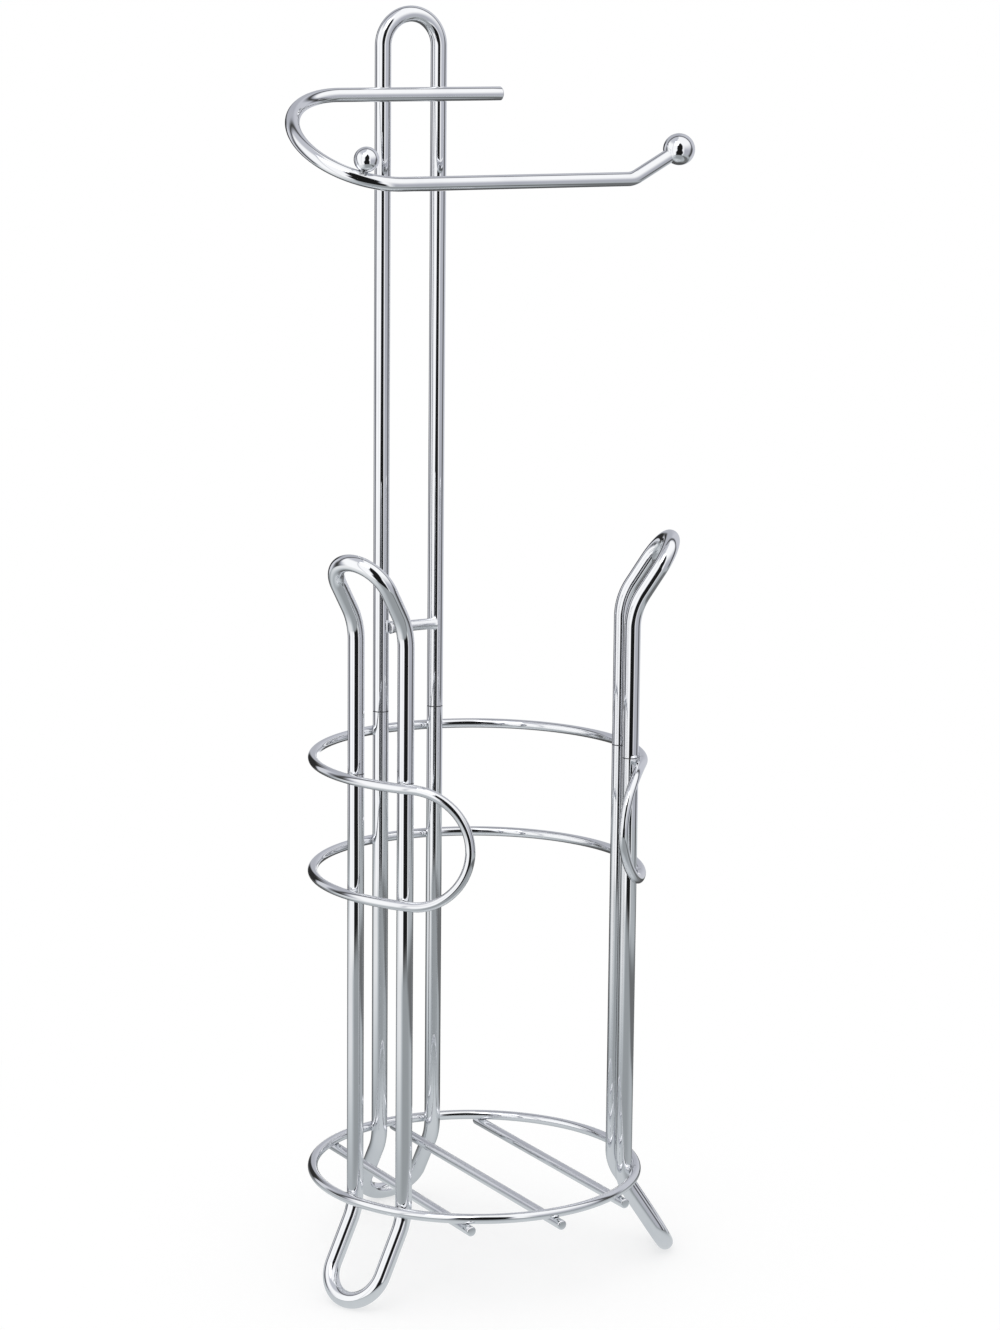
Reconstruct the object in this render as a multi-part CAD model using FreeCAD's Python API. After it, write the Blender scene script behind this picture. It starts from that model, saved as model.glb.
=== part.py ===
import FreeCAD, Part
import math
import os

os.makedirs("parts", exist_ok=True)
V = FreeCAD.Vector

# Driving dimensions, in millimetres and degrees.
# The origin is on the floor under the middle of the ring, +Z is up, -Y is the open front.

# Tube and wire stock
leg_tube_d = 8.0            # legs, upper loops and pole share one tube
leg_wall = 0.8
ring_wire_d = 4.8
rail_wire_d = 4.8
bar_wire_d = 4.8
arm_wire_d = 7.0
crossbar_d = 5.5
weld_bite = 0.3             # how far a welded wire sinks into what it crosses

# Plan
ring_radius = 80.5          # centreline of the base ring
pair_spacing = 30.8         # between the two tubes of a leg
side_leg_angle = 111.8      # from the rear leg round to each side leg
rail_past_leg = 6.7         # straight-on length of a rail before its end turns over
bar_pitch = 42.7            # between neighbouring floor bars
bar_overhang = 6.5          # beyond the ring at each end of a bar
bar_end_round = 0.75

# Heights above the floor
ring_height = 46.5
lower_rail_height = 198.0
upper_rail_height = 254.5
pole_top_height = 614.0

# Feet
foot_lean = 33.0            # outward from the vertical
foot_bend_radius = 22.0
foot_bend_above_ring = 0.6  # the bend starts this far above the ring's centreline
foot_flat_depth = 0.35      # worn flat under each foot

# Upper loops
loop_above_rail = 110.8     # from the upper rail's centreline to the loop's top
loop_lean = 32.8            # outward from the vertical
loop_lean_rise = 32.2       # height of the leaning part, up to the tube's centreline
loop_bend_radius = 30.5

# Plug joints
rear_joint_above_rail = 11.0
loop_rail_gap = 0.35        # between a seated upper loop and the rail below it
pin_seat = 22.0             # length pressed into the lower tube
pin_reach = 22.0            # length that stands up into the upper tube
pin_clearance = 0.05        # radial, in the upper tube
pin_chamfer = 0.8
tube_end_chamfer = 0.25

# Pole crossbar
crossbar_above_joint = 43.0
crossbar_inset = 2.25       # its ends stop this far inside the tubes' centrelines
crossbar_sink = 2.3         # how far it sits back between the tubes

# Roll arm
arm_below_pole_top = 42.5   # from the pole's top down to the back run
arm_free_end = 46.5         # right end of the run that crosses the pole
arm_left_reach = 81.0       # out to the left end of the U-turn
arm_reach = 66.0            # from the back run forward to the front run
arm_drop = 39.0             # from the back run down to the front run
arm_kick_reach = 83.0       # out to where the front run turns up
arm_kick_angle = 28.0
arm_kick_length = 29.5      # to the middle of the end ball
arm_kick_radius = 12.0
arm_end_round = 0.8
end_ball_d = 15.7
end_ball_socket = 7.0       # depth of wire inside the end ball
stop_ball_d = 12.0
stop_ball_angle = 31.0      # place on the U-turn, back from where the front run starts

# Derived sizes
leg_r = leg_tube_d / 2
bore_r = leg_r - leg_wall
ring_r = ring_wire_d / 2
rail_r = rail_wire_d / 2
bar_r = bar_wire_d / 2
arm_r = arm_wire_d / 2
crossbar_r = crossbar_d / 2
half_pair = pair_spacing / 2

tube_circle = ring_radius - ring_r - leg_r + weld_bite            # all six tubes stand on this circle
leg_plane = math.sqrt(tube_circle ** 2 - half_pair ** 2)
half_pair_turn = math.degrees(math.asin(half_pair / tube_circle))
rail_radius = tube_circle + leg_r + rail_r - weld_bite

loop_clear_height = math.sqrt(rail_r ** 2 - (rail_r - weld_bite - loop_rail_gap) ** 2)
side_joint_height = upper_rail_height + loop_clear_height
rear_joint_height = upper_rail_height + rear_joint_above_rail
crossbar_height = rear_joint_height + crossbar_above_joint
arm_height = pole_top_height - arm_below_pole_top

rear_turn = 90.0
left_turn = rear_turn + side_leg_angle
right_turn = rear_turn - side_leg_angle

foot_tip_height = leg_r - foot_flat_depth
foot_bend_tangent = foot_bend_radius * math.tan(math.radians(foot_lean) / 2)
foot_bend_height = ring_height + foot_bend_above_ring - foot_bend_tangent
loop_tip_height = upper_rail_height + loop_above_rail - leg_r
loop_bend_height = loop_tip_height - loop_lean_rise

tiny = 1e-6


def unit(vector):
    return vector / vector.Length


def arc_edge(start, corner, end):
    # Tangent arc between two points that lie equally far from a corner of the path.
    opening = unit(start - corner).getAngle(unit(end - corner))
    weight = math.sin(opening / 2)
    middle = (start + end + corner * (2 * weight)) / (2 + 2 * weight)
    return Part.Arc(start, middle, end).toShape()


def bent_path(points, radii):
    # Straight runs joined by tangent arcs; radii belong to the inner points.
    edges = []
    here = points[0]
    for before, corner, after, radius in zip(points, points[1:], points[2:], radii):
        back = unit(before - corner)
        ahead = unit(after - corner)
        setback = radius / math.tan(back.getAngle(ahead) / 2)
        arc_start = corner + back * setback
        arc_end = corner + ahead * setback
        if (arc_start - here).Length > tiny:
            edges.append(Part.LineSegment(here, arc_start).toShape())
        edges.append(arc_edge(arc_start, corner, arc_end))
        here = arc_end
    edges.append(Part.LineSegment(here, points[-1]).toShape())
    return edges


def two_arcs(start, start_dir, end, end_dir):
    # Two tangent arcs from one point and direction to another.
    span = end - start
    both = start_dir + end_dir
    spread = 2 * (1 - start_dir.dot(end_dir))
    reach = span.dot(both)
    arm = (math.sqrt(reach ** 2 + spread * span.dot(span)) - reach) / spread
    corner_a = start + start_dir * arm
    corner_b = end - end_dir * arm
    middle = (corner_a + corner_b) / 2
    return [arc_edge(start, corner_a, middle), arc_edge(middle, corner_b, end)]


def swept(edges, radius):
    # Round bar along a path that starts at its first edge's start.
    path = Part.Wire(edges)
    start = edges[0].valueAt(edges[0].FirstParameter)
    direction = edges[0].tangentAt(edges[0].FirstParameter)
    section = Part.Wire(Part.Circle(start, direction, radius).toShape())
    solid = path.makePipeShell([section], True, False)
    wanted = math.pi * radius ** 2 * path.Length
    print(f"  swept length {path.Length:.2f}, volume {solid.Volume:.1f} of {wanted:.1f}")
    return solid


def edges_at_height(solid, height):
    flat = []
    for edge in solid.Edges:
        box = edge.BoundBox
        if abs(box.ZMin - height) < tiny and abs(box.ZMax - height) < tiny:
            flat.append(edge)
    return flat


def leg_point(turn, side, outward, height):
    # Side is -1 or 1 for the two tubes of a leg; outward is measured from the tubes' plane.
    angle = math.radians(turn)
    out_dir = V(math.cos(angle), math.sin(angle), 0)
    along = V(-math.sin(angle), math.cos(angle), 0)
    return out_dir * (leg_plane + outward) + along * (side * half_pair) + V(0, 0, height)


def hairpin(turn, end_height, bend_height, tip_height, lean, bend_radius):
    # One tube folded over: two upright runs that lean outward and close in a half circle.
    outward = abs(tip_height - bend_height) * math.tan(math.radians(lean))
    points = [
        leg_point(turn, -1, 0, end_height),
        leg_point(turn, -1, 0, bend_height),
        leg_point(turn, -1, outward, tip_height),
        leg_point(turn, 1, outward, tip_height),
        leg_point(turn, 1, 0, bend_height),
        leg_point(turn, 1, 0, end_height),
    ]
    return bent_path(points, [bend_radius, half_pair, half_pair, bend_radius])


def arch(turn, end_height, tip_height):
    # One tube folded over with upright runs all the way.
    points = [
        leg_point(turn, -1, 0, end_height),
        leg_point(turn, -1, 0, tip_height),
        leg_point(turn, 1, 0, tip_height),
        leg_point(turn, 1, 0, end_height),
    ]
    return bent_path(points, [half_pair, half_pair])


def tube(edges, end_height):
    # Hollow tube with a broken outer edge at its open ends; its full round is kept for weld notches.
    full = swept(edges, leg_r)
    full = full.makeChamfer(tube_end_chamfer, edges_at_height(full, end_height))
    return full, full.cut(swept(edges, bore_r))


def joint_pin(turn, side, height):
    # Shouldered pin: pressed into the lower tube, a sliding fit in the upper one.
    slide_r = bore_r - pin_clearance
    profile = [
        V(0, 0, -pin_seat),
        V(bore_r, 0, -pin_seat),
        V(bore_r, 0, 0),
        V(slide_r, 0, 0),
        V(slide_r, 0, pin_reach - pin_chamfer),
        V(slide_r - pin_chamfer, 0, pin_reach),
        V(0, 0, pin_reach),
    ]
    face = Part.Face(Part.makePolygon(profile + profile[:1]))
    pin = face.revolve(V(0, 0, 0), V(0, 0, 1), 360)
    pin.translate(leg_point(turn, side, 0, height))
    return pin


nodes = {}

# Lower legs: hairpins with splayed feet, ground flat where they stand
legs = {
    "left": (left_turn, side_joint_height, ("rear", "front")),
    "right": (right_turn, side_joint_height, ("front", "rear")),
    "rear": (rear_turn, rear_joint_height, ("right", "left")),
}
lower_rounds = []
for place, (turn, joint_height, tube_places) in legs.items():
    path = hairpin(turn, joint_height, foot_bend_height, foot_tip_height, foot_lean, foot_bend_radius)
    full, leg = tube(path, joint_height)
    below = Part.makeBox(leg_tube_d + pair_spacing, leg_tube_d + pair_spacing, leg_tube_d)
    foot_out = (foot_bend_height - foot_tip_height) * math.tan(math.radians(foot_lean))
    foot_middle = leg_point(turn, 0, foot_out, 0)
    below.translate(foot_middle - V(half_pair + leg_r, half_pair + leg_r, leg_tube_d))
    nodes[f"{place}_lower_leg"] = leg.cut(below)
    lower_rounds.append(full)
    for side, tube_place in zip((-1, 1), tube_places):
        nodes[f"{place}_leg_{tube_place}_pin"] = joint_pin(turn, side, joint_height)

# Base ring, welded round the outside of the legs
ring = Part.makeTorus(ring_radius, ring_r, V(0, 0, ring_height))
nodes["base_ring"] = ring.cut(lower_rounds)

# Floor bars, welded under the ring
bar_height = ring_height - ring_r - bar_r + weld_bite
for place, x in (("left", -bar_pitch), ("middle", 0.0), ("right", bar_pitch)):
    half_length = math.sqrt(ring_radius ** 2 - x ** 2) + bar_overhang
    bar = Part.makeCylinder(bar_r, 2 * half_length, V(x, -half_length, bar_height), V(0, 1, 0))
    bar = bar.makeFillet(bar_end_round, [edge for edge in bar.Edges if edge.Closed])
    nodes[f"floor_bar_{place}"] = bar.cut(ring)


# Rail loop: one wire that forms both rails and turns over at each side of the open front
def rail_point(turn, height):
    angle = math.radians(turn)
    return V(rail_radius * math.cos(angle), rail_radius * math.sin(angle), height)


def rail_end(end_turn):
    # Half circle rolled onto the rails' cylinder, in four spans of two arcs.
    middle = (upper_rail_height + lower_rail_height) / 2
    radius = (upper_rail_height - lower_rail_height) / 2
    stations = []
    for share in (0.0, 0.25, 0.5, 0.75, 1.0):
        swing = math.pi * share
        turn = math.radians(end_turn) - radius * math.sin(swing) / rail_radius
        along = V(math.sin(turn), -math.cos(turn), 0)
        place = rail_point(math.degrees(turn), middle + radius * math.cos(swing))
        stations.append((place, along * math.cos(swing) - V(0, 0, math.sin(swing))))
    edges = []
    for (start, start_dir), (end, end_dir) in zip(stations, stations[1:]):
        edges += two_arcs(start, start_dir, end, end_dir)
    return edges


rail_end_turn = right_turn - half_pair_turn - math.degrees(rail_past_leg / rail_radius)
half_way = (rear_turn + rail_end_turn) / 2


def rail_arc(height):
    stations = [rail_point(turn, height) for turn in (rear_turn, half_way, rail_end_turn)]
    return Part.Arc(*stations)


upper_arc = rail_arc(upper_rail_height).toShape()
lower_arc = rail_arc(lower_rail_height)
lower_arc.reverse()
right_half = swept([upper_arc] + rail_end(rail_end_turn) + [lower_arc.toShape()], rail_r)
left_half = right_half.mirror(V(0, 0, 0), V(1, 0, 0))
nodes["rail_loop"] = right_half.fuse(left_half).cut(lower_rounds)

# Upper loops on the side legs
for place in ("left", "right"):
    turn, joint_height, _ = legs[place]
    path = hairpin(turn, joint_height, loop_bend_height, loop_tip_height, loop_lean, loop_bend_radius)
    nodes[f"{place}_upper_loop"] = tube(path, joint_height)[1]

# Pole on the rear leg, and the crossbar across the front of its tubes
pole_tip_height = pole_top_height - leg_r
pole_round, nodes["rear_pole"] = tube(arch(rear_turn, rear_joint_height, pole_tip_height), rear_joint_height)
crossbar_half = half_pair - crossbar_inset
crossbar_y = leg_plane - leg_r - crossbar_r + crossbar_sink
crossbar_start = V(-crossbar_half, crossbar_y, crossbar_height)
crossbar = Part.makeCylinder(crossbar_r, 2 * crossbar_half, crossbar_start, V(1, 0, 0))
nodes["pole_crossbar"] = crossbar.cut(pole_round)

# Roll arm: back run across the pole, U-turn forward and down, front run, upturned end
arm_back_y = leg_plane - leg_r - arm_r + weld_bite
arm_front_y = arm_back_y - arm_reach
arm_front_height = arm_height - arm_drop
arm_turn_radius = math.hypot(arm_reach, arm_drop) / 2
kick_corner = V(arm_kick_reach, arm_front_y, arm_front_height)
kick_dir = V(math.cos(math.radians(arm_kick_angle)), 0, math.sin(math.radians(arm_kick_angle)))
end_ball_middle = kick_corner + kick_dir * arm_kick_length
arm_points = [
    V(arm_free_end, arm_back_y, arm_height),
    V(-arm_left_reach, arm_back_y, arm_height),
    V(-arm_left_reach, arm_front_y, arm_front_height),
    kick_corner,
    end_ball_middle + kick_dir * (end_ball_socket - end_ball_d / 2),
]
arm = swept(bent_path(arm_points, [arm_turn_radius, arm_turn_radius, arm_kick_radius]), arm_r)
free_edges = [edge for edge in arm.Edges if edge.BoundBox.XMin > arm_free_end - tiny
              and edge.BoundBox.XMax < arm_free_end + tiny]
arm = arm.makeFillet(arm_end_round, free_edges).cut(pole_round)
nodes["roll_arm"] = arm
nodes["arm_end_ball"] = Part.makeSphere(end_ball_d / 2, end_ball_middle).cut(arm)

# Stop ball on top of the U-turn, square to the wire there
fall = V(0, arm_front_y - arm_back_y, arm_front_height - arm_height) / (2 * arm_turn_radius)
turn_middle = (arm_points[1] + arm_points[2]) / 2 + V(arm_turn_radius, 0, 0)
swing = math.radians(stop_ball_angle)
wire_middle = turn_middle + (fall * math.cos(swing) - V(1, 0, 0) * math.sin(swing)) * arm_turn_radius
wire_dir = V(1, 0, 0) * math.cos(swing) + fall * math.sin(swing)
upward = unit(V(0, 0, 1) - wire_dir * wire_dir.z)
stop_ball_r = stop_ball_d / 2
stop_ball = Part.makeSphere(stop_ball_r, wire_middle + upward * (arm_r + stop_ball_r - weld_bite))
nodes["arm_stop_ball"] = stop_ball.cut(arm)

for name, shape in nodes.items():
    box = shape.BoundBox
    print(f"{name}: solids {len(shape.Solids)}, valid {shape.isValid()}, volume {shape.Volume:.0f},"
          f" x {box.XMin:.1f} {box.XMax:.1f} y {box.YMin:.1f} {box.YMax:.1f} z {box.ZMin:.1f} {box.ZMax:.1f}")
    shape.exportStep(f"parts/{name}.step")
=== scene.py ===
import bpy
import numpy as np
from mathutils import Matrix


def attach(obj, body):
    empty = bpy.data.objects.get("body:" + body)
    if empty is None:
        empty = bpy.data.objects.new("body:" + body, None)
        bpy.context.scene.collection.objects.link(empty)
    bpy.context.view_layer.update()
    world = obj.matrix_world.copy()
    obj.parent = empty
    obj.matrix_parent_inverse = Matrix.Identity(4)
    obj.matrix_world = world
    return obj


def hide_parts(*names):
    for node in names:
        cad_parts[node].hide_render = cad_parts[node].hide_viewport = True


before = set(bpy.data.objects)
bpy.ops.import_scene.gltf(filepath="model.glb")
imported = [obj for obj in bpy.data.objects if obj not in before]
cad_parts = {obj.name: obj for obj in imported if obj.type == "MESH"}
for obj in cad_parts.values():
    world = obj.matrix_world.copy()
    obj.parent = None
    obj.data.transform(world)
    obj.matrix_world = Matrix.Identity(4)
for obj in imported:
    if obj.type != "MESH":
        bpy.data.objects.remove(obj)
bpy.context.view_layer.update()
scene = bpy.context.scene
scene.view_settings.view_transform = "Standard"

mm = 0.001  # sizes below are in millimetres, meshes in metres
upward = np.array([0.0, 0.0, 1.0])
sideways = np.array([1.0, 0.0, 0.0])
tiny = 1e-6  # anything shorter has no length

# sizes that several pieces share
stand = {
    "tube": 4.0,  # outer radius of legs, loops and pole
    "bore": 3.2,  # inner radius of the same
    "wire": 2.4,  # radius of ring, rails and bars
    "bite": 0.3,  # how deep a weld sinks in
    "ringRadius": 80.5,  # of ring and rails, to the middle of the wire
    "pairHalf": 15.4,  # half the distance between a leg's two tubes
    "sideAngle": 111.8,  # from the rear leg round to a side leg
    "ringHeight": 46.5,
    "lowRail": 198.0,
    "highRail": 254.5,
    "loopGap": 0.35,  # between a seated loop and the rail below it
    "rearJointRise": 11.0,  # the rear seams above the upper rail
    "poleTop": 614.0,
}
facets = {"tube": 48, "wire": 40, "arm": 44, "pin": 40, "ball": 72}  # round each skin
tubeCircle = stand["ringRadius"] - stand["wire"] - stand["tube"] + stand["bite"]
legPlane = np.sqrt(tubeCircle ** 2 - stand["pairHalf"] ** 2)
halfPairTurn = np.degrees(np.arcsin(stand["pairHalf"] / tubeCircle))
legTurns = {"rear": 90.0, "left": 90.0 + stand["sideAngle"], "right": 90.0 - stand["sideAngle"]}
looseWire = stand["wire"] - stand["bite"] - stand["loopGap"]  # half the rail where a seated loop clears it
sideJoint = stand["highRail"] + np.sqrt(stand["wire"] ** 2 - looseWire ** 2)
rearJoint = stand["highRail"] + stand["rearJointRise"]


def unit(v):  # each row over its own length
    return v / np.linalg.norm(v, axis=-1, keepdims=True)


def heading(turn):  # level unit vector at a turn from +X
    a = np.radians(turn)
    return np.stack([np.cos(a), np.sin(a), 0.0 * a], axis=-1)


def legPoint(turn, side, outward, height):  # a place on one of a leg's two tubes
    out = heading(turn)
    along = np.cross(upward, out)
    return out * (legPlane + outward) + along * side * stand["pairHalf"] + upward * height


# straight runs and tangent arcs through corners; an arc is centre + r (n cos k + t sin k)
def bentPath(corners, radii, arcStep=0.7, runStep=6.0):
    corners = np.asarray(corners, float)
    places, ways = [], []
    here = corners[0]

    def run(a, b):
        count = max(2, int(np.ceil(np.linalg.norm(b - a) / runStep)) + 1)
        share = np.linspace(0, 1, count)[:, None]
        places.append(a + share * (b - a))
        ways.append(np.repeat(unit(b - a)[None], count, axis=0))

    for before, corner, after, radius in zip(corners, corners[1:], corners[2:], radii):
        back, ahead = unit(before - corner), unit(after - corner)
        half = np.arccos(np.clip(back @ ahead, -1, 1)) / 2
        start = corner + back * radius / np.tan(half)
        if np.linalg.norm(start - here) > tiny:
            run(here, start)
        turn = np.pi - 2 * half
        k = np.linspace(0, turn, int(np.ceil(turn * radius / arcStep)) + 1)[:, None]
        centre = corner + unit(back + ahead) * radius / np.sin(half)
        n = (start - centre) / radius
        places.append(centre + radius * (np.cos(k) * n - np.sin(k) * back))
        ways.append(-np.cos(k) * back - np.sin(k) * n)
        here = corner + ahead * radius / np.tan(half)
    run(here, corners[-1])
    places, ways = np.vstack(places), np.vstack(ways)
    fresh = np.append(True, np.linalg.norm(np.diff(places, axis=0), axis=1) > tiny)
    return places[fresh], ways[fresh]


# round skin along a path: place + r (side cos a + over sin a), side and over square to the way
def roundSkin(places, ways, lean, radii, sides=facets["tube"]):
    side = unit(np.cross(ways, lean))
    over = np.cross(side, ways)
    a = np.arange(sides) * 2 * np.pi / sides
    ring = np.cos(a)[None, :, None] * side[:, None] + np.sin(a)[None, :, None] * over[:, None]
    return places[:, None] + np.broadcast_to(radii, len(places))[:, None, None] * ring


# the profile (distance, radius) turned about an axis
def turned(start, axis, profile, sides):
    profile = np.asarray(profile, float)
    axis = unit(np.asarray(axis, float))
    places = np.asarray(start, float) + profile[:, :1] * axis
    ways = np.repeat(axis[None], len(profile), axis=0)
    lean = upward if abs(axis[2]) < 0.9 else sideways  # never along the axis itself
    return roundSkin(places, ways, lean, profile[:, 1], sides)


# quads between the rows of each grid, round each row, and fans where a grid has closed ends
def piece(name, grids, material, body, nodes=(), closed=False, sharpAngle=35.0, cutAndShadeRows=()):
    points, faces, base = [], [], 0
    for grid in grids:
        rows, cols = grid.shape[:2]
        last = rows if closed else rows - 1
        i, j = np.meshgrid(np.arange(last), np.arange(cols), indexing="ij")
        nextI, nextJ = (i + 1) % rows, (j + 1) % cols
        quads = [i * cols + j, nextI * cols + j, nextI * cols + nextJ, i * cols + nextJ]
        faces += (np.stack(quads, axis=-1).reshape(-1, 4) + base).tolist()
        points.append(grid.reshape(-1, 3))
        count = rows * cols
        if not closed:
            k = np.arange(cols)
            nextK = (k + 1) % cols
            points.append(np.stack([grid[0].mean(0), grid[-1].mean(0)]))
            head = np.stack([np.full(cols, count), k, nextK], axis=-1)
            tail = np.stack([np.full(cols, count + 1), count - cols + nextK, count - cols + k], axis=-1)
            faces += (head + base).tolist() + (tail + base).tolist()
            count += 2
        base += count
    mesh = bpy.data.meshes.new(name)
    mesh.from_pydata(np.vstack(points) * mm, [], faces)
    mesh.shade_smooth()
    mesh.set_sharp_from_angle(angle=np.radians(sharpAngle))
    mesh.materials.append(material)
    if len(cutAndShadeRows):  # sawn faces and bore of a tube are dark: bare cut steel, darkened further as painted shade in the seam groove
        mesh.materials.append(cutSteelAndShade)
        rowOf = np.arange(len(faces)) // grids[0].shape[1]
        mesh.polygons.foreach_set("material_index", np.isin(rowOf, cutAndShadeRows).astype(np.int32))
    mesh.update()
    obj = bpy.data.objects.new(name, mesh)
    scene.collection.objects.link(obj)
    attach(obj, body)
    if nodes:
        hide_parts(*nodes)


# materials
def newGroup(name, inputs, outputs):
    group = bpy.data.node_groups.new(name, "ShaderNodeTree")
    for label, kind in inputs:
        group.interface.new_socket(name=label, in_out="INPUT", socket_type=kind)
    for label, kind in outputs:
        group.interface.new_socket(name=label, in_out="OUTPUT", socket_type=kind)
    return group, group.nodes.new("NodeGroupInput"), group.nodes.new("NodeGroupOutput")


def addNode(tree, kind, **values):
    node = tree.nodes.new(kind)
    for key, value in values.items():
        setattr(node, key, value)
    return node


hazeSet = {
    "patchDetail": 4.0, "patchFrom": 0.45, "patchBy": 0.75,  # soft patches
    "markDetail": 2.0, "markFrom": 0.4, "markBy": 0.9, "markShare": 0.35,  # wiping marks
}
rippleSet = {"waveDetail": 1.0, "peelDetail": 1.0}


# polish haze: soft patches and fine wiping marks, blended between a clean and a hazy value
def makeHaze():
    group, given, made = newGroup(
        "polishHaze",
        [("Vector", "NodeSocketVector"), ("Patch Scale", "NodeSocketFloat"),
         ("Mark Scale", "NodeSocketFloat"), ("Clean", "NodeSocketFloat"), ("Hazy", "NodeSocketFloat")],
        [("Roughness", "NodeSocketFloat"), ("Mask", "NodeSocketFloat")])
    link = group.links.new
    patch = addNode(group, "ShaderNodeTexNoise")
    patch.inputs["Detail"].default_value = hazeSet["patchDetail"]
    marks = addNode(group, "ShaderNodeTexNoise")
    marks.inputs["Detail"].default_value = hazeSet["markDetail"]
    soft = addNode(group, "ShaderNodeMapRange", interpolation_type="SMOOTHSTEP")
    soft.inputs["From Min"].default_value = hazeSet["patchFrom"]
    soft.inputs["From Max"].default_value = hazeSet["patchBy"]
    fine = addNode(group, "ShaderNodeMapRange")
    fine.inputs["From Min"].default_value = hazeSet["markFrom"]
    fine.inputs["From Max"].default_value = hazeSet["markBy"]
    both = addNode(group, "ShaderNodeMath", operation="MULTIPLY_ADD", use_clamp=True)
    both.inputs[1].default_value = hazeSet["markShare"]
    span = addNode(group, "ShaderNodeMapRange")
    link(given.outputs["Vector"], patch.inputs["Vector"])
    link(given.outputs["Vector"], marks.inputs["Vector"])
    link(given.outputs["Patch Scale"], patch.inputs["Scale"])
    link(given.outputs["Mark Scale"], marks.inputs["Scale"])
    link(patch.outputs["Fac"], soft.inputs["Value"])
    link(marks.outputs["Fac"], fine.inputs["Value"])
    link(fine.outputs["Result"], both.inputs[0])
    link(soft.outputs["Result"], both.inputs[2])
    link(both.outputs["Value"], span.inputs["Value"])
    link(given.outputs["Clean"], span.inputs["To Min"])
    link(given.outputs["Hazy"], span.inputs["To Max"])
    link(span.outputs["Result"], made.inputs["Roughness"])
    link(both.outputs["Value"], made.inputs["Mask"])
    return group


# plate ripple: long shallow waves that bend reflections, with a fine orange peel on top
def makeRipple():
    group, given, made = newGroup(
        "plateRipple",
        [("Vector", "NodeSocketVector"), ("Wave Scale", "NodeSocketFloat"),
         ("Peel Scale", "NodeSocketFloat"), ("Peel", "NodeSocketFloat")],
        [("Height", "NodeSocketFloat")])
    link = group.links.new
    wave = addNode(group, "ShaderNodeTexNoise")
    wave.inputs["Detail"].default_value = rippleSet["waveDetail"]
    peel = addNode(group, "ShaderNodeTexNoise")
    peel.inputs["Detail"].default_value = rippleSet["peelDetail"]
    both = addNode(group, "ShaderNodeMath", operation="MULTIPLY_ADD")
    link(given.outputs["Vector"], wave.inputs["Vector"])
    link(given.outputs["Vector"], peel.inputs["Vector"])
    link(given.outputs["Wave Scale"], wave.inputs["Scale"])
    link(given.outputs["Peel Scale"], peel.inputs["Scale"])
    link(peel.outputs["Fac"], both.inputs[0])
    link(given.outputs["Peel"], both.inputs[1])
    link(wave.outputs["Fac"], both.inputs[2])
    link(both.outputs["Value"], made.inputs["Height"])
    return group


hazeGroup = makeHaze()
rippleGroup = makeRipple()


# bright plate: tint drifts between two near colours where the haze lies
def makeMetal(name, look):
    material = bpy.data.materials.new(name)
    material.use_nodes = True
    tree = material.node_tree
    link = tree.links.new
    shader = tree.nodes["Principled BSDF"]
    shader.inputs["Metallic"].default_value = 1.0
    place = addNode(tree, "ShaderNodeTexCoord")
    stretch = addNode(tree, "ShaderNodeMapping")
    stretch.inputs["Scale"].default_value = look["stretch"]
    haze = addNode(tree, "ShaderNodeGroup", node_tree=hazeGroup)
    ripple = addNode(tree, "ShaderNodeGroup", node_tree=rippleGroup)
    for label in ("Patch Scale", "Mark Scale", "Clean", "Hazy"):
        haze.inputs[label].default_value = look[label]
    for label in ("Wave Scale", "Peel Scale", "Peel"):
        ripple.inputs[label].default_value = look[label]
    tint = addNode(tree, "ShaderNodeMix", data_type="RGBA")
    tint.inputs["A"].default_value = (*look["clear"], 1)
    tint.inputs["B"].default_value = (*look["dull"], 1)
    bump = addNode(tree, "ShaderNodeBump")
    bump.inputs["Strength"].default_value = look["bump"]
    bump.inputs["Distance"].default_value = look["depth"]
    link(place.outputs["Object"], stretch.inputs["Vector"])
    link(stretch.outputs["Vector"], haze.inputs["Vector"])
    link(stretch.outputs["Vector"], ripple.inputs["Vector"])
    link(haze.outputs["Roughness"], shader.inputs["Roughness"])
    link(haze.outputs["Mask"], tint.inputs["Factor"])
    link(tint.outputs["Result"], shader.inputs["Base Color"])
    link(ripple.outputs["Height"], bump.inputs["Height"])
    link(bump.outputs["Normal"], shader.inputs["Normal"])
    return material


chromeLook = {
    "clear": (0.86, 0.87, 0.89), "dull": (0.80, 0.81, 0.84), "stretch": (1, 1, 1),
    "Patch Scale": 38.0, "Mark Scale": 700.0, "Clean": 0.025, "Hazy": 0.085,
    "Wave Scale": 45.0, "Peel Scale": 900.0, "Peel": 0.004, "bump": 0.14, "depth": 0.0005,
}
tubeChrome = makeMetal("tubeChrome", {**chromeLook, "stretch": (1, 1, 0.35)})
wireChrome = makeMetal("wireChrome", {**chromeLook, "clear": (0.85, 0.86, 0.88), "Hazy": 0.1})
ballChrome = makeMetal("ballChrome", {**chromeLook, "Clean": 0.02, "Hazy": 0.06, "bump": 0.1})
# welds: plate colours far darker than the wire's, as painted shade and painted dark reflection for the
# crevices where two rounds meet
weldChromeShaded = makeMetal("weldChromeShaded", {
    **chromeLook, "clear": (0.54, 0.55, 0.57), "dull": (0.38, 0.39, 0.41), "Patch Scale": 160.0,
    "Clean": 0.05, "Hazy": 0.18, "Wave Scale": 420.0, "bump": 0.6, "depth": 0.0006})
pinSteel = makeMetal("pinSteel", {
    **chromeLook, "clear": (0.62, 0.63, 0.65), "dull": (0.48, 0.48, 0.50), "stretch": (0.2, 0.2, 6.0),
    "Patch Scale": 120.0, "Mark Scale": 500.0, "Clean": 0.22, "Hazy": 0.38,
    "Wave Scale": 300.0, "Peel Scale": 900.0, "Peel": 0.3, "bump": 0.5, "depth": 0.0003})
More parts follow.
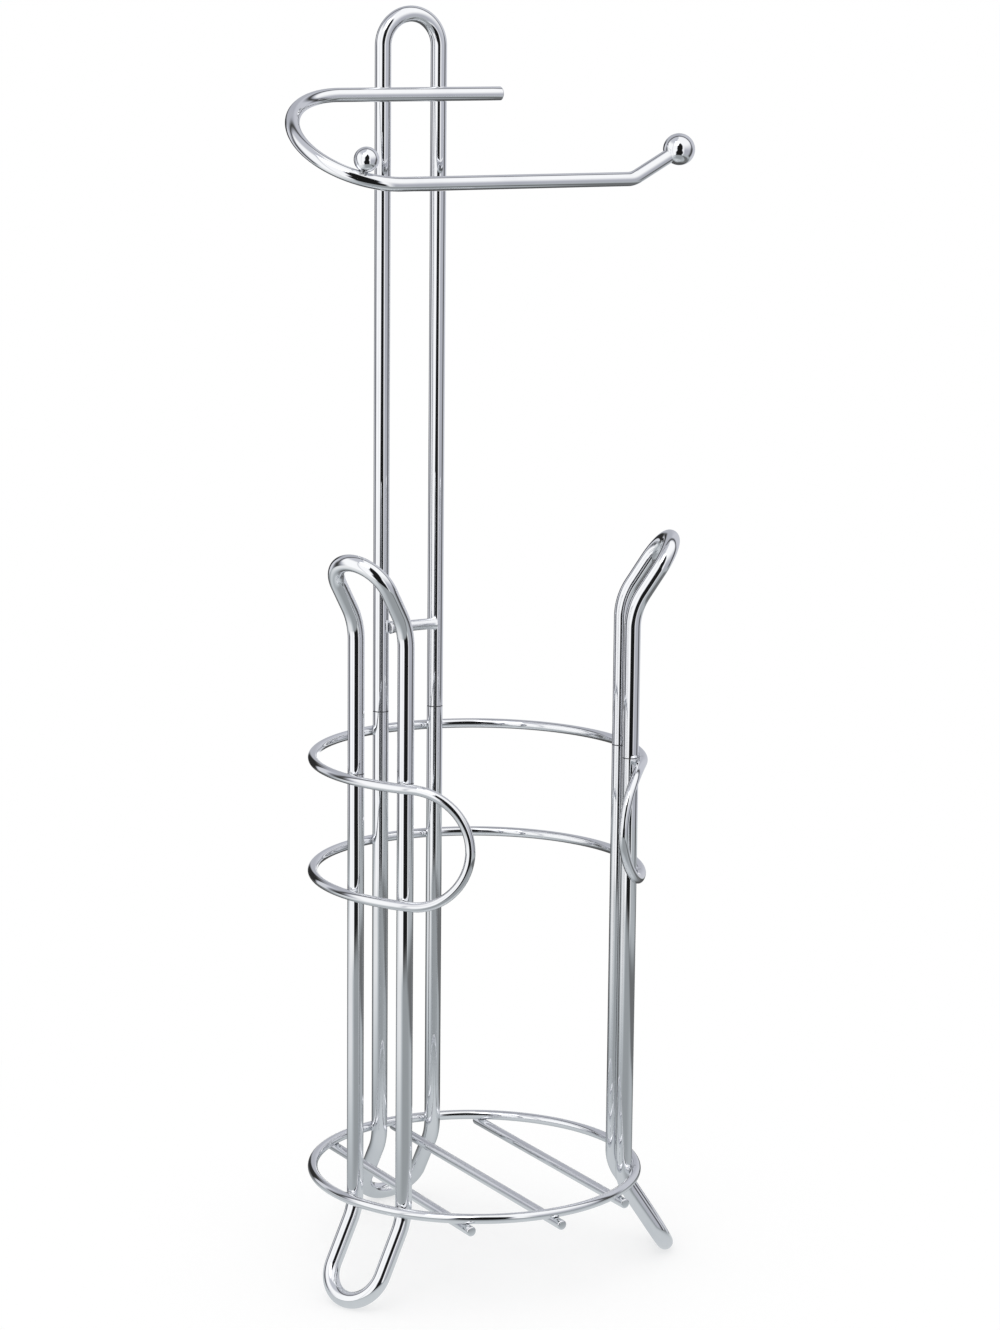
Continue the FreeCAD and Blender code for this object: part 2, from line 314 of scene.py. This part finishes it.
# cut faces: bare steel, darkened further as painted shade so each seam reads as a shaded groove
cutSteelAndShade = makeMetal("cutSteelAndShade", {
    **chromeLook, "clear": (0.20, 0.20, 0.21), "dull": (0.10, 0.10, 0.11), "Patch Scale": 260.0,
    "Mark Scale": 1400.0, "Clean": 0.35, "Hazy": 0.6, "Wave Scale": 500.0, "bump": 0.4, "depth": 0.0003})
print("materials:", len(bpy.data.materials))

# hairpin legs, leaning loops and the tall pole
legSet = {"lean": 33.0, "bend": 22.0, "bendAboveRing": 0.6, "flat": 0.35}  # leans in degrees
loopSet = {"lean": 32.8, "rise": 32.2, "bend": 30.5, "aboveRail": 110.8}
tubeEnd = {"chamfer": 0.25}


# hollow tube: the outer skin, its broken ends, and the bore back again
def hollow(places, ways, lean):
    cut = tubeEnd["chamfer"]
    places = np.vstack([places[:1], places[:1] + ways[:1] * cut, places[1:-1],
                        places[-1:] - ways[-1:] * cut, places[-1:]])
    ways = np.vstack([ways[:1], ways[:1], ways[1:-1], ways[-1:], ways[-1:]])
    radii = np.full(len(places), stand["tube"])
    radii[[0, -1]] -= cut
    outer = roundSkin(places, ways, lean, radii)
    inner = roundSkin(places, ways, lean, np.full(len(places), stand["bore"]))
    count = len(places)
    cutAndShadeRows = np.concatenate([[0], np.arange(count - 2, 2 * count)])  # broken edges, end faces and bore: bare cut steel with painted shade
    return np.concatenate([outer, inner[::-1]]), cutAndShadeRows


# folded tube: two upright runs lean outward and close in a half circle
def hairpin(turn, end, bend, tip, lean, radius):
    outward = abs(tip - bend) * np.tan(np.radians(lean))
    spots = [(-1, 0, end), (-1, 0, bend), (-1, outward, tip), (1, outward, tip), (1, 0, bend), (1, 0, end)]
    half = stand["pairHalf"]
    places, ways = bentPath([legPoint(turn, *s) for s in spots], [radius, half, half, radius])
    rise = legPoint(turn, 0, outward, tip) - legPoint(turn, 0, 0, bend)
    return places, ways, unit(np.cross(legPoint(turn, 1, 0, 0) - legPoint(turn, -1, 0, 0), rise))


footTip = stand["tube"] - legSet["flat"]
footTangent = legSet["bend"] * np.tan(np.radians(legSet["lean"]) / 2)
footBend = stand["ringHeight"] + legSet["bendAboveRing"] - footTangent
joints = {"left": sideJoint, "right": sideJoint, "rear": rearJoint}
for place, turn in legTurns.items():
    skin, cutAndShadeRows = hollow(*hairpin(turn, joints[place], footBend, footTip, legSet["lean"], legSet["bend"]))
    skin[..., 2] = np.maximum(skin[..., 2], 0)  # ground flat where it stands
    piece(f"{place}_leg_tube", [skin], tubeChrome, "base", [f"{place}_lower_leg"],
          closed=True, cutAndShadeRows=cutAndShadeRows)

loopTip = stand["highRail"] + loopSet["aboveRail"] - stand["tube"]
for place in ("left", "right"):
    skin, cutAndShadeRows = hollow(*hairpin(legTurns[place], sideJoint, loopTip - loopSet["rise"], loopTip,
                                    loopSet["lean"], loopSet["bend"]))
    piece(f"{place}_loop_tube", [skin], tubeChrome, f"{place}_loop",
          [f"{place}_upper_loop"], closed=True, cutAndShadeRows=cutAndShadeRows)

poleTip = stand["poleTop"] - stand["tube"]
poleSpots = [(-1, 0, rearJoint), (-1, 0, poleTip), (1, 0, poleTip), (1, 0, rearJoint)]
polePath = bentPath([legPoint(legTurns["rear"], *s) for s in poleSpots], [stand["pairHalf"]] * 2)
skin, cutAndShadeRows = hollow(*polePath, np.array([0, 1.0, 0]))  # the pole's plane faces +Y
piece("rear_pole_tube", [skin], tubeChrome, "pole", ["rear_pole"],
      closed=True, cutAndShadeRows=cutAndShadeRows)
print("tubes done")

# turned steel pins, pressed into the lower tubes
pinSet = {"seat": 22.0, "reach": 22.0, "press": 0.01, "clear": 0.05, "chamfer": 0.8}
pinPlaces = {  # which of a leg's two tubes, and its side
    "left": {"rear": -1, "front": 1},
    "right": {"front": -1, "rear": 1},
    "rear": {"right": -1, "left": 1},
}
pressRadius = stand["bore"] - pinSet["press"]  # a hair inside the bore's wall
slideRadius = stand["bore"] - pinSet["clear"]
pinProfile = [
    (-pinSet["seat"], pressRadius), (0, pressRadius), (0, slideRadius),
    (pinSet["reach"] - pinSet["chamfer"], slideRadius), (pinSet["reach"], slideRadius - pinSet["chamfer"])]
for place, tubes in pinPlaces.items():
    for tubePlace, side in tubes.items():
        seam = legPoint(legTurns[place], side, 0, joints[place])
        skin = turned(seam, upward, pinProfile, facets["pin"])
        piece(f"{place}_{tubePlace}_plug", [skin], pinSteel, "base",
              [f"{place}_leg_{tubePlace}_pin"])
print("pins done")

# base ring, floor bars and rail loop
ringSet = {"steps": 640}
barSet = {"pitch": 42.7, "overhang": 6.5, "round": 0.75}
barEnd = {"length": 6.0, "rows": 24, "middleRows": 16, "rimRows": 7}  # finer rows near the ends
railSet = {"pastLeg": 6.7, "step": 0.8}
k = np.linspace(0, 2 * np.pi, ringSet["steps"], endpoint=False)
ringPlaces = np.stack([np.cos(k), np.sin(k), 0 * k], axis=-1) * stand["ringRadius"]
ringPlaces = ringPlaces + upward * stand["ringHeight"]
ringWays = np.stack([-np.sin(k), np.cos(k), 0 * k], axis=-1)
skin = roundSkin(ringPlaces, ringWays, upward, stand["wire"], facets["wire"])
piece("base_ring_wire", [skin], wireChrome, "base", ["base_ring"], closed=True)


# straight bar with rounded rims: quarter circles close both ends, and a flare falls off by its square
def barProfile(length, radius, rim, flare=0.0, flareLength=1.0):
    q = np.linspace(0, np.pi / 2, barEnd["rimRows"])
    headEnd = np.stack([rim - rim * np.cos(q), radius - rim + rim * np.sin(q)], axis=-1)
    x = np.concatenate([np.linspace(rim, barEnd["length"], barEnd["rows"])[1:],
                        np.linspace(barEnd["length"], length / 2, barEnd["middleRows"])[1:]])
    swell = flare * np.clip(1 - x / flareLength, 0, 1) ** 2
    half = np.vstack([headEnd, np.stack([x, radius + swell], axis=-1)])
    return np.vstack([half, np.stack([length - half[::-1, 0], half[::-1, 1]], axis=-1)[1:]])


barHeight = stand["ringHeight"] - 2 * stand["wire"] + stand["bite"]
barSpots = {"left": -barSet["pitch"], "middle": 0.0, "right": barSet["pitch"]}
for place, x in barSpots.items():
    half = np.sqrt(stand["ringRadius"] ** 2 - x ** 2) + barSet["overhang"]
    profile = barProfile(2 * half, stand["wire"], barSet["round"])
    skin = turned((x, -half, barHeight), (0, 1, 0), profile, facets["wire"])
    piece(f"floor_bar_{place}_wire", [skin], wireChrome, "base", [f"floor_bar_{place}"])

railTurn = legTurns["right"] - halfPairTurn - np.degrees(railSet["pastLeg"] / stand["ringRadius"])
railMiddle = (stand["highRail"] + stand["lowRail"]) / 2
railHalf = (stand["highRail"] - stand["lowRail"]) / 2
railSweep = np.radians(180 - 2 * railTurn)
runCount = int(railSweep * stand["ringRadius"] / railSet["step"])
endCount = int(np.pi * railHalf / railSet["step"])
runShare = np.linspace(0, 1, runCount, endpoint=False)
swing = np.linspace(0, np.pi, endCount, endpoint=False)
endTurn = railHalf * np.sin(swing) / stand["ringRadius"]  # half circle rolled onto the rails' cylinder
rightTurn, leftTurn = np.radians(railTurn), np.pi - np.radians(railTurn)
railTurns = np.concatenate([leftTurn - runShare * railSweep, rightTurn - endTurn,
                            rightTurn + runShare * railSweep, leftTurn + endTurn])
railHeights = np.concatenate([np.full(runCount, stand["highRail"]), railMiddle + railHalf * np.cos(swing),
                              np.full(runCount, stand["lowRail"]), railMiddle - railHalf * np.cos(swing)])
railOut = np.stack([np.cos(railTurns), np.sin(railTurns), 0 * railTurns], axis=-1)
railPlaces = railOut * stand["ringRadius"] + upward * railHeights[:, None]
railWays = unit(np.roll(railPlaces, -1, axis=0) - np.roll(railPlaces, 1, axis=0))
skin = roundSkin(railPlaces, railWays, railOut, stand["wire"], facets["wire"])
piece("rail_wire", [skin], wireChrome, "base", ["rail_loop"], closed=True)
print("wires done")

# crossbar, roll arm and its balls
crossSet = {
    "aboveJoint": 43.0, "inset": 2.25, "sink": 2.3, "radius": 2.75, "rim": 0.3,
    "flare": 0.7, "flareLength": 5.0,  # it swells where it is welded
}
armSet = {
    "radius": 3.5, "belowTop": 42.5, "free": 46.5, "left": 81.0, "reach": 66.0, "drop": 39.0,
    "kickReach": 83.0, "kickAngle": 28.0, "kickLength": 29.5, "kickBend": 12.0, "rim": 0.8,
    "endBall": 7.85, "stopBall": 6.0, "stopAngle": 31.0,
}
ballSet = {"rows": 49, "tip": 0.001}  # the last rows nearly close at the poles
crossHalf = stand["pairHalf"] - crossSet["inset"]
crossY = legPlane - stand["tube"] - crossSet["radius"] + crossSet["sink"]
crossStart = (-crossHalf, crossY, rearJoint + crossSet["aboveJoint"])
crossProfile = barProfile(2 * crossHalf, crossSet["radius"], crossSet["rim"], crossSet["flare"],
                          crossSet["flareLength"])
skin = turned(crossStart, sideways, crossProfile, facets["wire"])
piece("crossbar_wire", [skin], wireChrome, "pole", ["pole_crossbar"])

armTop = stand["poleTop"] - armSet["belowTop"]
armBackY = legPlane - stand["tube"] - armSet["radius"] + stand["bite"]
armFrontY, armLow = armBackY - armSet["reach"], armTop - armSet["drop"]
uRadius = np.hypot(armSet["reach"], armSet["drop"]) / 2
kickRise = np.radians(armSet["kickAngle"])
kickWay = np.array([np.cos(kickRise), 0, np.sin(kickRise)])
kickCorner = np.array([armSet["kickReach"], armFrontY, armLow])
endBallPlace = kickCorner + kickWay * armSet["kickLength"]
armCorners = [(armSet["free"], armBackY, armTop), (-armSet["left"], armBackY, armTop),
              (-armSet["left"], armFrontY, armLow), kickCorner, endBallPlace]
fall = unit(np.array([0, -armSet["reach"], -armSet["drop"]]))
armLean = np.cross(sideways, fall)
armPlaces, armWays = bentPath(armCorners, [uRadius, uRadius, armSet["kickBend"]])
q = np.linspace(0, np.pi / 2, barEnd["rimRows"])[:, None]
rimPlaces = armPlaces[0] + armWays[0] * armSet["rim"] * (1 - np.cos(q))  # rounded free end
armRadii = np.concatenate([armSet["radius"] - armSet["rim"] * (1 - np.sin(q[:, 0])),
                           np.full(len(armPlaces) - 1, armSet["radius"])])
armPlaces = np.vstack([rimPlaces, armPlaces[1:]])
armWays = np.vstack([np.repeat(armWays[:1], len(rimPlaces), axis=0), armWays[1:]])
skin = roundSkin(armPlaces, armWays, armLean, armRadii, facets["arm"])
piece("roll_arm_wire", [skin], wireChrome, "pole", ["roll_arm"])


# ball: radius R sin t at distance -R cos t along its axis
def ballGrid(centre, axis, radius):
    t = np.linspace(0, np.pi, ballSet["rows"])[1:-1]
    profile = np.stack([-radius * np.cos(t), radius * np.sin(t)], axis=-1)
    skin = turned(centre, axis, profile, facets["ball"])
    toTip = radius * unit(np.asarray(axis, float))
    near = ballSet["tip"]
    first = (centre - toTip) * (1 - near) + skin[:1] * near
    last = (centre + toTip) * (1 - near) + skin[-1:] * near
    return np.concatenate([first, skin, last])


skin = ballGrid(endBallPlace, kickWay, armSet["endBall"])
piece("end_ball", [skin], ballChrome, "pole", ["arm_end_ball"])
stopSwing = np.radians(armSet["stopAngle"])
uMiddle = np.array([-armSet["left"] + uRadius, (armBackY + armFrontY) / 2, (armTop + armLow) / 2])
stopWire = uMiddle + uRadius * (fall * np.cos(stopSwing) - sideways * np.sin(stopSwing))
stopWay = sideways * np.cos(stopSwing) + fall * np.sin(stopSwing)
stopUp = unit(upward - stopWay * stopWay[2])
stopPlace = stopWire + stopUp * (armSet["radius"] + armSet["stopBall"] - stand["bite"])
skin = ballGrid(stopPlace, stopUp, armSet["stopBall"])
piece("stop_ball", [skin], ballChrome, "pole", ["arm_stop_ball"])
print("pole fittings done")

# weld: a lump that fills the wedge between two crossing rounds and hollows in between its rims
weldSet = {"reach": 2.5, "across": 3.0, "hollow": 0.22, "rows": 9, "sides": 32, "barShare": 0.6, "sharp": 80}


# rim (U cos k, V sin k) dropped onto both rounds, joined by a band that pinches in halfway
def weld(contact, normal, wayA, radiusA, wayB, radiusB, isBall=False, share=1.0):
    normal = unit(np.asarray(normal, float))
    wayA = unit(np.asarray(wayA, float))
    cross = np.cross(wayA, normal)
    k = np.arange(weldSet["sides"]) * 2 * np.pi / weldSet["sides"]
    s = np.linspace(0, 1, weldSet["rows"])[:, None]
    pinch = 1 - weldSet["hollow"] * 4 * s * (1 - s)
    u = share * weldSet["reach"] * np.cos(k) * pinch
    v = share * weldSet["across"] * np.sin(k) * pinch
    flat = u[..., None] * wayA + v[..., None] * cross
    fromB = np.hypot(u, v) if isBall else flat @ np.cross(unit(np.asarray(wayB, float)), normal)
    low = np.sqrt(np.clip(radiusA ** 2 - v ** 2, 0, None)) - radiusA
    high = radiusB - stand["bite"] - np.sqrt(np.clip(radiusB ** 2 - fromB ** 2, 0, None))
    height = low * (1 - s) + high * s
    return np.asarray(contact) + flat + height[..., None] * normal


tubeTurns = np.array([turn + side * halfPairTurn for turn in legTurns.values() for side in (-1, 1)])
baseWelds = []
for turn in tubeTurns:
    out = heading(turn)
    for height in (stand["ringHeight"], stand["lowRail"], stand["highRail"]):
        contact = out * (tubeCircle + stand["tube"]) + upward * height
        baseWelds.append(weld(contact, out, upward, stand["tube"], np.cross(upward, out), stand["wire"]))
for x in barSpots.values():
    for front in (-1, 1):
        y = front * np.sqrt(stand["ringRadius"] ** 2 - x ** 2)
        contact = (x, y, stand["ringHeight"] - stand["wire"])
        baseWelds.append(weld(contact, -upward, (-y, x, 0), stand["wire"], (0, 1, 0), stand["wire"],
                              share=weldSet["barShare"]))
piece("base_welds", baseWelds, weldChromeShaded, "base", sharpAngle=weldSet["sharp"])
poleWelds = []
for side in (-1, 1):
    contact = (side * stand["pairHalf"], legPlane - stand["tube"], armTop)
    poleWelds.append(weld(contact, (0, -1, 0), upward, stand["tube"], sideways, armSet["radius"]))
poleWelds.append(weld(stopWire + stopUp * armSet["radius"], stopUp, stopWay, armSet["radius"], None,
                      armSet["stopBall"], isBall=True))
piece("pole_welds", poleWelds, weldChromeShaded, "pole", sharpAngle=weldSet["sharp"])
print("welds:", len(baseWelds) + len(poleWelds))

# camera, placed round the object as in the photograph
cameraSet = {
    "azimuth": -29.513, "pitch": 10.85, "roll": 0.557,  # degrees
    "distance": 1766.09, "across": 10.376, "height": 300.076,  # millimetres, to and of the point it looks at
    "focalPixels": 3638.9, "longSide": 1330, "sensor": 36.0,
}


# object matrix from three axes and a place
def placed(axes, place):
    return Matrix([[*row, p] for row, p in zip(np.stack(axes, axis=-1), place)] + [[0, 0, 0, 1]])


az, tilt, roll = np.radians([cameraSet["azimuth"], cameraSet["pitch"], cameraSet["roll"]])
back = np.array([np.sin(az) * np.cos(tilt), -np.cos(az) * np.cos(tilt), np.sin(tilt)])
right = np.array([np.cos(az), np.sin(az), 0])
over = np.cross(back, right)
target = right * cameraSet["across"] + upward * cameraSet["height"]
axes = [right * np.cos(roll) + over * np.sin(roll), over * np.cos(roll) - right * np.sin(roll), back]
spot = (target + back * cameraSet["distance"]) * mm
cameraData = bpy.data.cameras.new("camera")
cameraData.sensor_width = cameraSet["sensor"]
cameraData.lens = cameraSet["focalPixels"] * cameraSet["sensor"] / cameraSet["longSide"]
camera = bpy.data.objects.new("camera", cameraData)
scene.collection.objects.link(camera)
camera.matrix_world = placed(axes, spot)
scene.camera = camera

# studio: white background, pale floor, and a painted surround that only reflections see
world = bpy.data.worlds.new("studio")
scene.world = world
world.use_nodes = True
world.node_tree.nodes["Background"].inputs["Color"].default_value = (1, 1, 1, 1)
world.node_tree.nodes["Background"].inputs["Strength"].default_value = 1.0
floorSet = {
    "radius": 6.0, "drop": 0.0002, "turnSteps": 65, "reachSteps": 5,  # metres and grid lines
    "colour": (0.98, 0.98, 0.98), "whiteFrom": -0.3, "whiteBy": 0.42,
}
surroundSet = {
    "radius": 2.6, "middle": 0.3, "turnSteps": 361, "liftSteps": 91,  # metres and grid lines
    "white": 1.1, "wall": 0.49, "seam": 0.6, "edge": 0.05, "flag": 0.012,  # light levels
    "rear": 0.5, "rightRear": 0.64, "panel": 0.74, "rearFlag": 0.03,
    "seamTurn": -48, "seamWidth": 2.0, "seamShare": 0.8,  # a thin upright line; degrees from here on
    "wallTurns": (30, 44), "wallTops": (-5, 40),
    "roofLifts": (36, 56), "roofTurns": (12, 45), "roofShare": 0.8,
    "highLifts": (2, 22),  # the dark ring is thinner above the camera
    "edgeLow": (78, 103), "edgeHigh": (89, 100), "rearLow": (104, 122), "rearHigh": (99, 109),
    "rightRearTurns": (60, 110, 150, 180), "whiteBehind": (164, 170),
    "panelTurns": (114, 121, 131, 136), "rearFlagTurns": (133, 138, 160, 167), "rearTops": (16, 32),
    "flagTurn": 4, "flagDrift": 0.1, "driftLifts": (-10, 50), "flagSoft": 4, "flagTip": 5,
    "flagLifts": (-13, -8, -4, 5, 14, 33, 44, 54),  # a dark shape with a waist
    "flagHalves": (27, 26, 21, 18, 21, 20, 13, 0),
    "wallTint": (0.98, 1.0, 1.09), "floorTint": (0.94, 1.0, 1.03), "tintBand": (0.05, 0.3, 0.5, 1.0),
}
cardSet = {
    "radius": 1.0, "turnSteps": 181, "reachSteps": 51,  # metres and grid lines
    "near": 0.66, "middle": 0.36, "right": 0.48, "left": 0.89, "rear": 0.09, "slant": 0.17,  # light levels
    "nearReaches": (0.1, 0.24), "rightTurns": (35, 85),  # turns in degrees, reaches in metres
    "leftTurns": (12, 58, 92, 140), "leftReaches": (0.08, 0.55),
    "rearTurns": (95, 150), "rearReaches": (0.03, 0.26),
    "slantReaches": (0.31, 0.37, 0.43, 0.56, 0.66), "slantTurns": (125, 112, 75, 44, 15),
    "slantSoft": 12, "slantEnd": (118, 140), "slantBand": (0.28, 0.38, 0.58, 0.7),
    "aheadTurns": (60, 90), "rimReaches": (0.72, 1.0), "rimAhead": (0.61, 0.73),
}


# soft step: 0 before a, 1 after b, s s (3 - 2 s) between
def ease(x, a, b):
    s = np.clip((x - a) / (b - a), 0, 1)
    return s * s * (3 - 2 * s)


# soft band: rises from a to b and falls from c to d
def band(x, a, b, c, d):
    return ease(x, a, b) * (1 - ease(x, c, d))


def mixTo(level, target, share):
    return level + (target - level) * share


# light by turn to the camera's right and lift above level, both in degrees: white, with a thin seam, a grey
# wall to the right, a dark ring at the sides, a grey rear with a panel and a dark band, and a dark flag ahead
def surroundLevel(turn, lift):
    paint = surroundSet
    t, e = np.radians(turn), np.radians(lift)
    facing = np.cos(e) * np.cos(t) * np.cos(tilt) + np.sin(e) * np.sin(tilt)
    away = np.degrees(np.arccos(np.clip(facing, -1, 1)))  # angle from the camera's own direction
    high = ease(lift, *paint["highLifts"])
    level = np.full(turn.shape, paint["white"])
    seam = np.exp(-((turn - paint["seamTurn"]) / paint["seamWidth"]) ** 2)
    level = mixTo(level, paint["seam"], seam * paint["seamShare"])
    wall = ease(turn, *paint["wallTurns"]) * (1 - ease(lift, *paint["wallTops"]))
    level = mixTo(level, paint["wall"], wall)
    roof = ease(lift, *paint["roofLifts"]) * ease(-turn, *paint["roofTurns"])
    level = mixTo(level, paint["rear"], paint["roofShare"] * roof)
    edge = mixTo(ease(away, *paint["edgeLow"]), ease(away, *paint["edgeHigh"]), high)
    level = mixTo(level, paint["edge"], edge)
    rear = mixTo(ease(away, *paint["rearLow"]), ease(away, *paint["rearHigh"]), high)
    rearLevel = mixTo(paint["rear"], paint["rightRear"], band(turn, *paint["rightRearTurns"]))
    level = mixTo(level, rearLevel, rear)
    low = 1 - ease(lift, *paint["rearTops"])
    level = mixTo(level, paint["panel"], low * band(-turn, *paint["panelTurns"]))
    level = mixTo(level, paint["rearFlag"], low * band(-turn, *paint["rearFlagTurns"]))
    level = mixTo(level, paint["white"], ease(away, *paint["whiteBehind"]))
    drift = np.clip(lift, *paint["driftLifts"]) - paint["driftLifts"][0]
    centre = paint["flagTurn"] + paint["flagDrift"] * drift
    half = np.interp(lift, paint["flagLifts"], paint["flagHalves"])
    inside = 1 - ease(np.abs(turn - centre), half - paint["flagSoft"], half + paint["flagSoft"])
    return mixTo(level, paint["flag"], inside * ease(half, 0, paint["flagTip"]))


# floor light: grey near the foot, brighter to the left, darker behind and in a slanting shape to the right,
# with the surround's own light at the rim
def cardLevel(turn, reach):
    paint = cardSet
    middle = mixTo(paint["middle"], paint["right"], ease(turn, *paint["rightTurns"]))
    level = mixTo(np.full(turn.shape, paint["near"]), middle, ease(reach, *paint["nearReaches"]))
    left = band(-turn, *paint["leftTurns"]) * ease(reach, *paint["leftReaches"])
    level = mixTo(level, paint["left"], left)
    rear = ease(np.abs(turn), *paint["rearTurns"]) * ease(reach, *paint["rearReaches"])
    level = mixTo(level, paint["rear"], rear)
    start = np.interp(reach, paint["slantReaches"], paint["slantTurns"])
    slant = band(turn, start - paint["slantSoft"], start + paint["slantSoft"], *paint["slantEnd"])
    level = mixTo(level, paint["slant"], slant * band(reach, *paint["slantBand"]))
    ahead = 1 - ease(np.abs(turn), *paint["aheadTurns"])
    joined = mixTo(ease(reach, *paint["rimReaches"]), ease(reach, *paint["rimAhead"]), ahead)
    rim = surroundLevel(turn, np.full(turn.shape, -cameraSet["pitch"]))
    return mixTo(level, rim, joined)


# quads over an open grid
def stagePiece(name, points, material):
    rows, cols = points.shape[:2]
    i, j = np.meshgrid(np.arange(rows - 1), np.arange(cols - 1), indexing="ij")
    quads = [i * cols + j, (i + 1) * cols + j, (i + 1) * cols + j + 1, i * cols + j + 1]
    mesh = bpy.data.meshes.new(name)
    mesh.from_pydata(points.reshape(-1, 3), [], np.stack(quads, axis=-1).reshape(-1, 4).tolist())
    mesh.materials.append(material)
    obj = bpy.data.objects.new(name, mesh)
    scene.collection.objects.link(obj)
    return obj


def plainMaterial(name, colour):
    material = bpy.data.materials.new(name)
    material.use_nodes = True
    shader = material.node_tree.nodes["Principled BSDF"]
    shader.inputs["Base Color"].default_value = (*colour, 1)
    shader.inputs["Specular IOR Level"].default_value = 0.0
    shader.inputs["Roughness"].default_value = 1.0
    return material, shader


# a grid that glows in its own painted levels, seen in reflections alone
def glowing(name, points, level, tint):
    material, shader = plainMaterial(name, (0, 0, 0))
    paint = addNode(material.node_tree, "ShaderNodeAttribute", attribute_name="glow")
    material.node_tree.links.new(paint.outputs["Color"], shader.inputs["Emission Color"])
    shader.inputs["Emission Strength"].default_value = 1.0
    material.cycles.emission_sampling = "NONE"
    obj = stagePiece(name, points, material)
    grey = band(level, *surroundSet["tintBand"])  # only the greys are tinted
    colour = level[..., None] * mixTo(np.ones(3), np.array(tint), grey[..., None])
    rgba = np.concatenate([colour, np.ones(level.shape + (1,))], axis=-1)
    layer = obj.data.color_attributes.new("glow", "FLOAT_COLOR", "POINT")
    layer.data.foreach_set("color", rgba.astype(np.float32).ravel())
    obj.visible_camera = False
    obj.visible_diffuse = False
    obj.visible_shadow = False
    obj.visible_transmission = False


# direction at a turn and a lift, with the camera's side at turn 0
def direction(turn, lift):
    t, e = np.radians(turn)[..., None], np.radians(lift)[..., None]
    front = np.array([np.sin(az), -np.cos(az), 0])
    return np.cos(e) * (np.cos(t) * front + np.sin(t) * right) + np.sin(e) * upward


# every turn against every step between two ends
def allRound(turnSteps, start, end, steps):
    return np.meshgrid(np.linspace(-180, 180, turnSteps), np.linspace(start, end, steps), indexing="ij")


# flat disc just under the feet: direction times reach
def disc(turns, reaches):
    return direction(turns, 0 * turns) * reaches[..., None] - upward * floorSet["drop"]


turns, lifts = allRound(surroundSet["turnSteps"], -90, 90, surroundSet["liftSteps"])
sphere = direction(turns, lifts) * surroundSet["radius"] + upward * surroundSet["middle"]
glowing("surround", sphere, surroundLevel(turns, lifts), surroundSet["wallTint"])
turns, reaches = allRound(cardSet["turnSteps"], 0, cardSet["radius"], cardSet["reachSteps"])
glowing("floorCard", disc(turns, reaches), cardLevel(turns, reaches), surroundSet["floorTint"])

# the floor turns to plain white with distance, and metal sees the card in its place
turns, reaches = allRound(floorSet["turnSteps"], 0, floorSet["radius"], floorSet["reachSteps"])
paleFloor, floorShader = plainMaterial("paleFloor", floorSet["colour"])
floorTree = paleFloor.node_tree
floorPlace = addNode(floorTree, "ShaderNodeTexCoord")
floorReach = addNode(floorTree, "ShaderNodeVectorMath", operation="LENGTH")
whiteShare = addNode(floorTree, "ShaderNodeMapRange", interpolation_type="SMOOTHSTEP")
whiteShare.inputs["From Min"].default_value = floorSet["whiteFrom"]
whiteShare.inputs["From Max"].default_value = floorSet["whiteBy"]
whiteGlow = addNode(floorTree, "ShaderNodeEmission")
floorMix = addNode(floorTree, "ShaderNodeMixShader")
floorLink = floorTree.links.new
floorLink(floorPlace.outputs["Object"], floorReach.inputs[0])
floorLink(floorReach.outputs["Value"], whiteShare.inputs["Value"])
floorLink(whiteShare.outputs["Result"], floorMix.inputs["Fac"])
floorLink(floorShader.outputs["BSDF"], floorMix.inputs[1])
floorLink(whiteGlow.outputs["Emission"], floorMix.inputs[2])
floorLink(floorMix.outputs["Shader"], floorTree.nodes["Material Output"].inputs["Surface"])
paleFloor.cycles.emission_sampling = "NONE"
floor = stagePiece("floor", disc(turns, reaches), paleFloor)
floor.visible_glossy = False

# one soft lamp
keySet = {"size": 1.2, "power": 5.0, "spot": (-1.2, -1.0, 2.2), "aim": (0, 0, 0.3)}  # metres and watts
keyData = bpy.data.lights.new("key", "AREA")
keyData.shape = "RECTANGLE"
keyData.size = keySet["size"]
keyData.size_y = keySet["size"]
keyData.energy = keySet["power"]
key = bpy.data.objects.new("key", keyData)
keyBack = unit(np.subtract(keySet["spot"], keySet["aim"]))
keyRight = unit(np.cross(upward, keyBack))
key.matrix_world = placed([keyRight, np.cross(keyBack, keyRight), keyBack], keySet["spot"])
scene.collection.objects.link(key)
print("studio done")
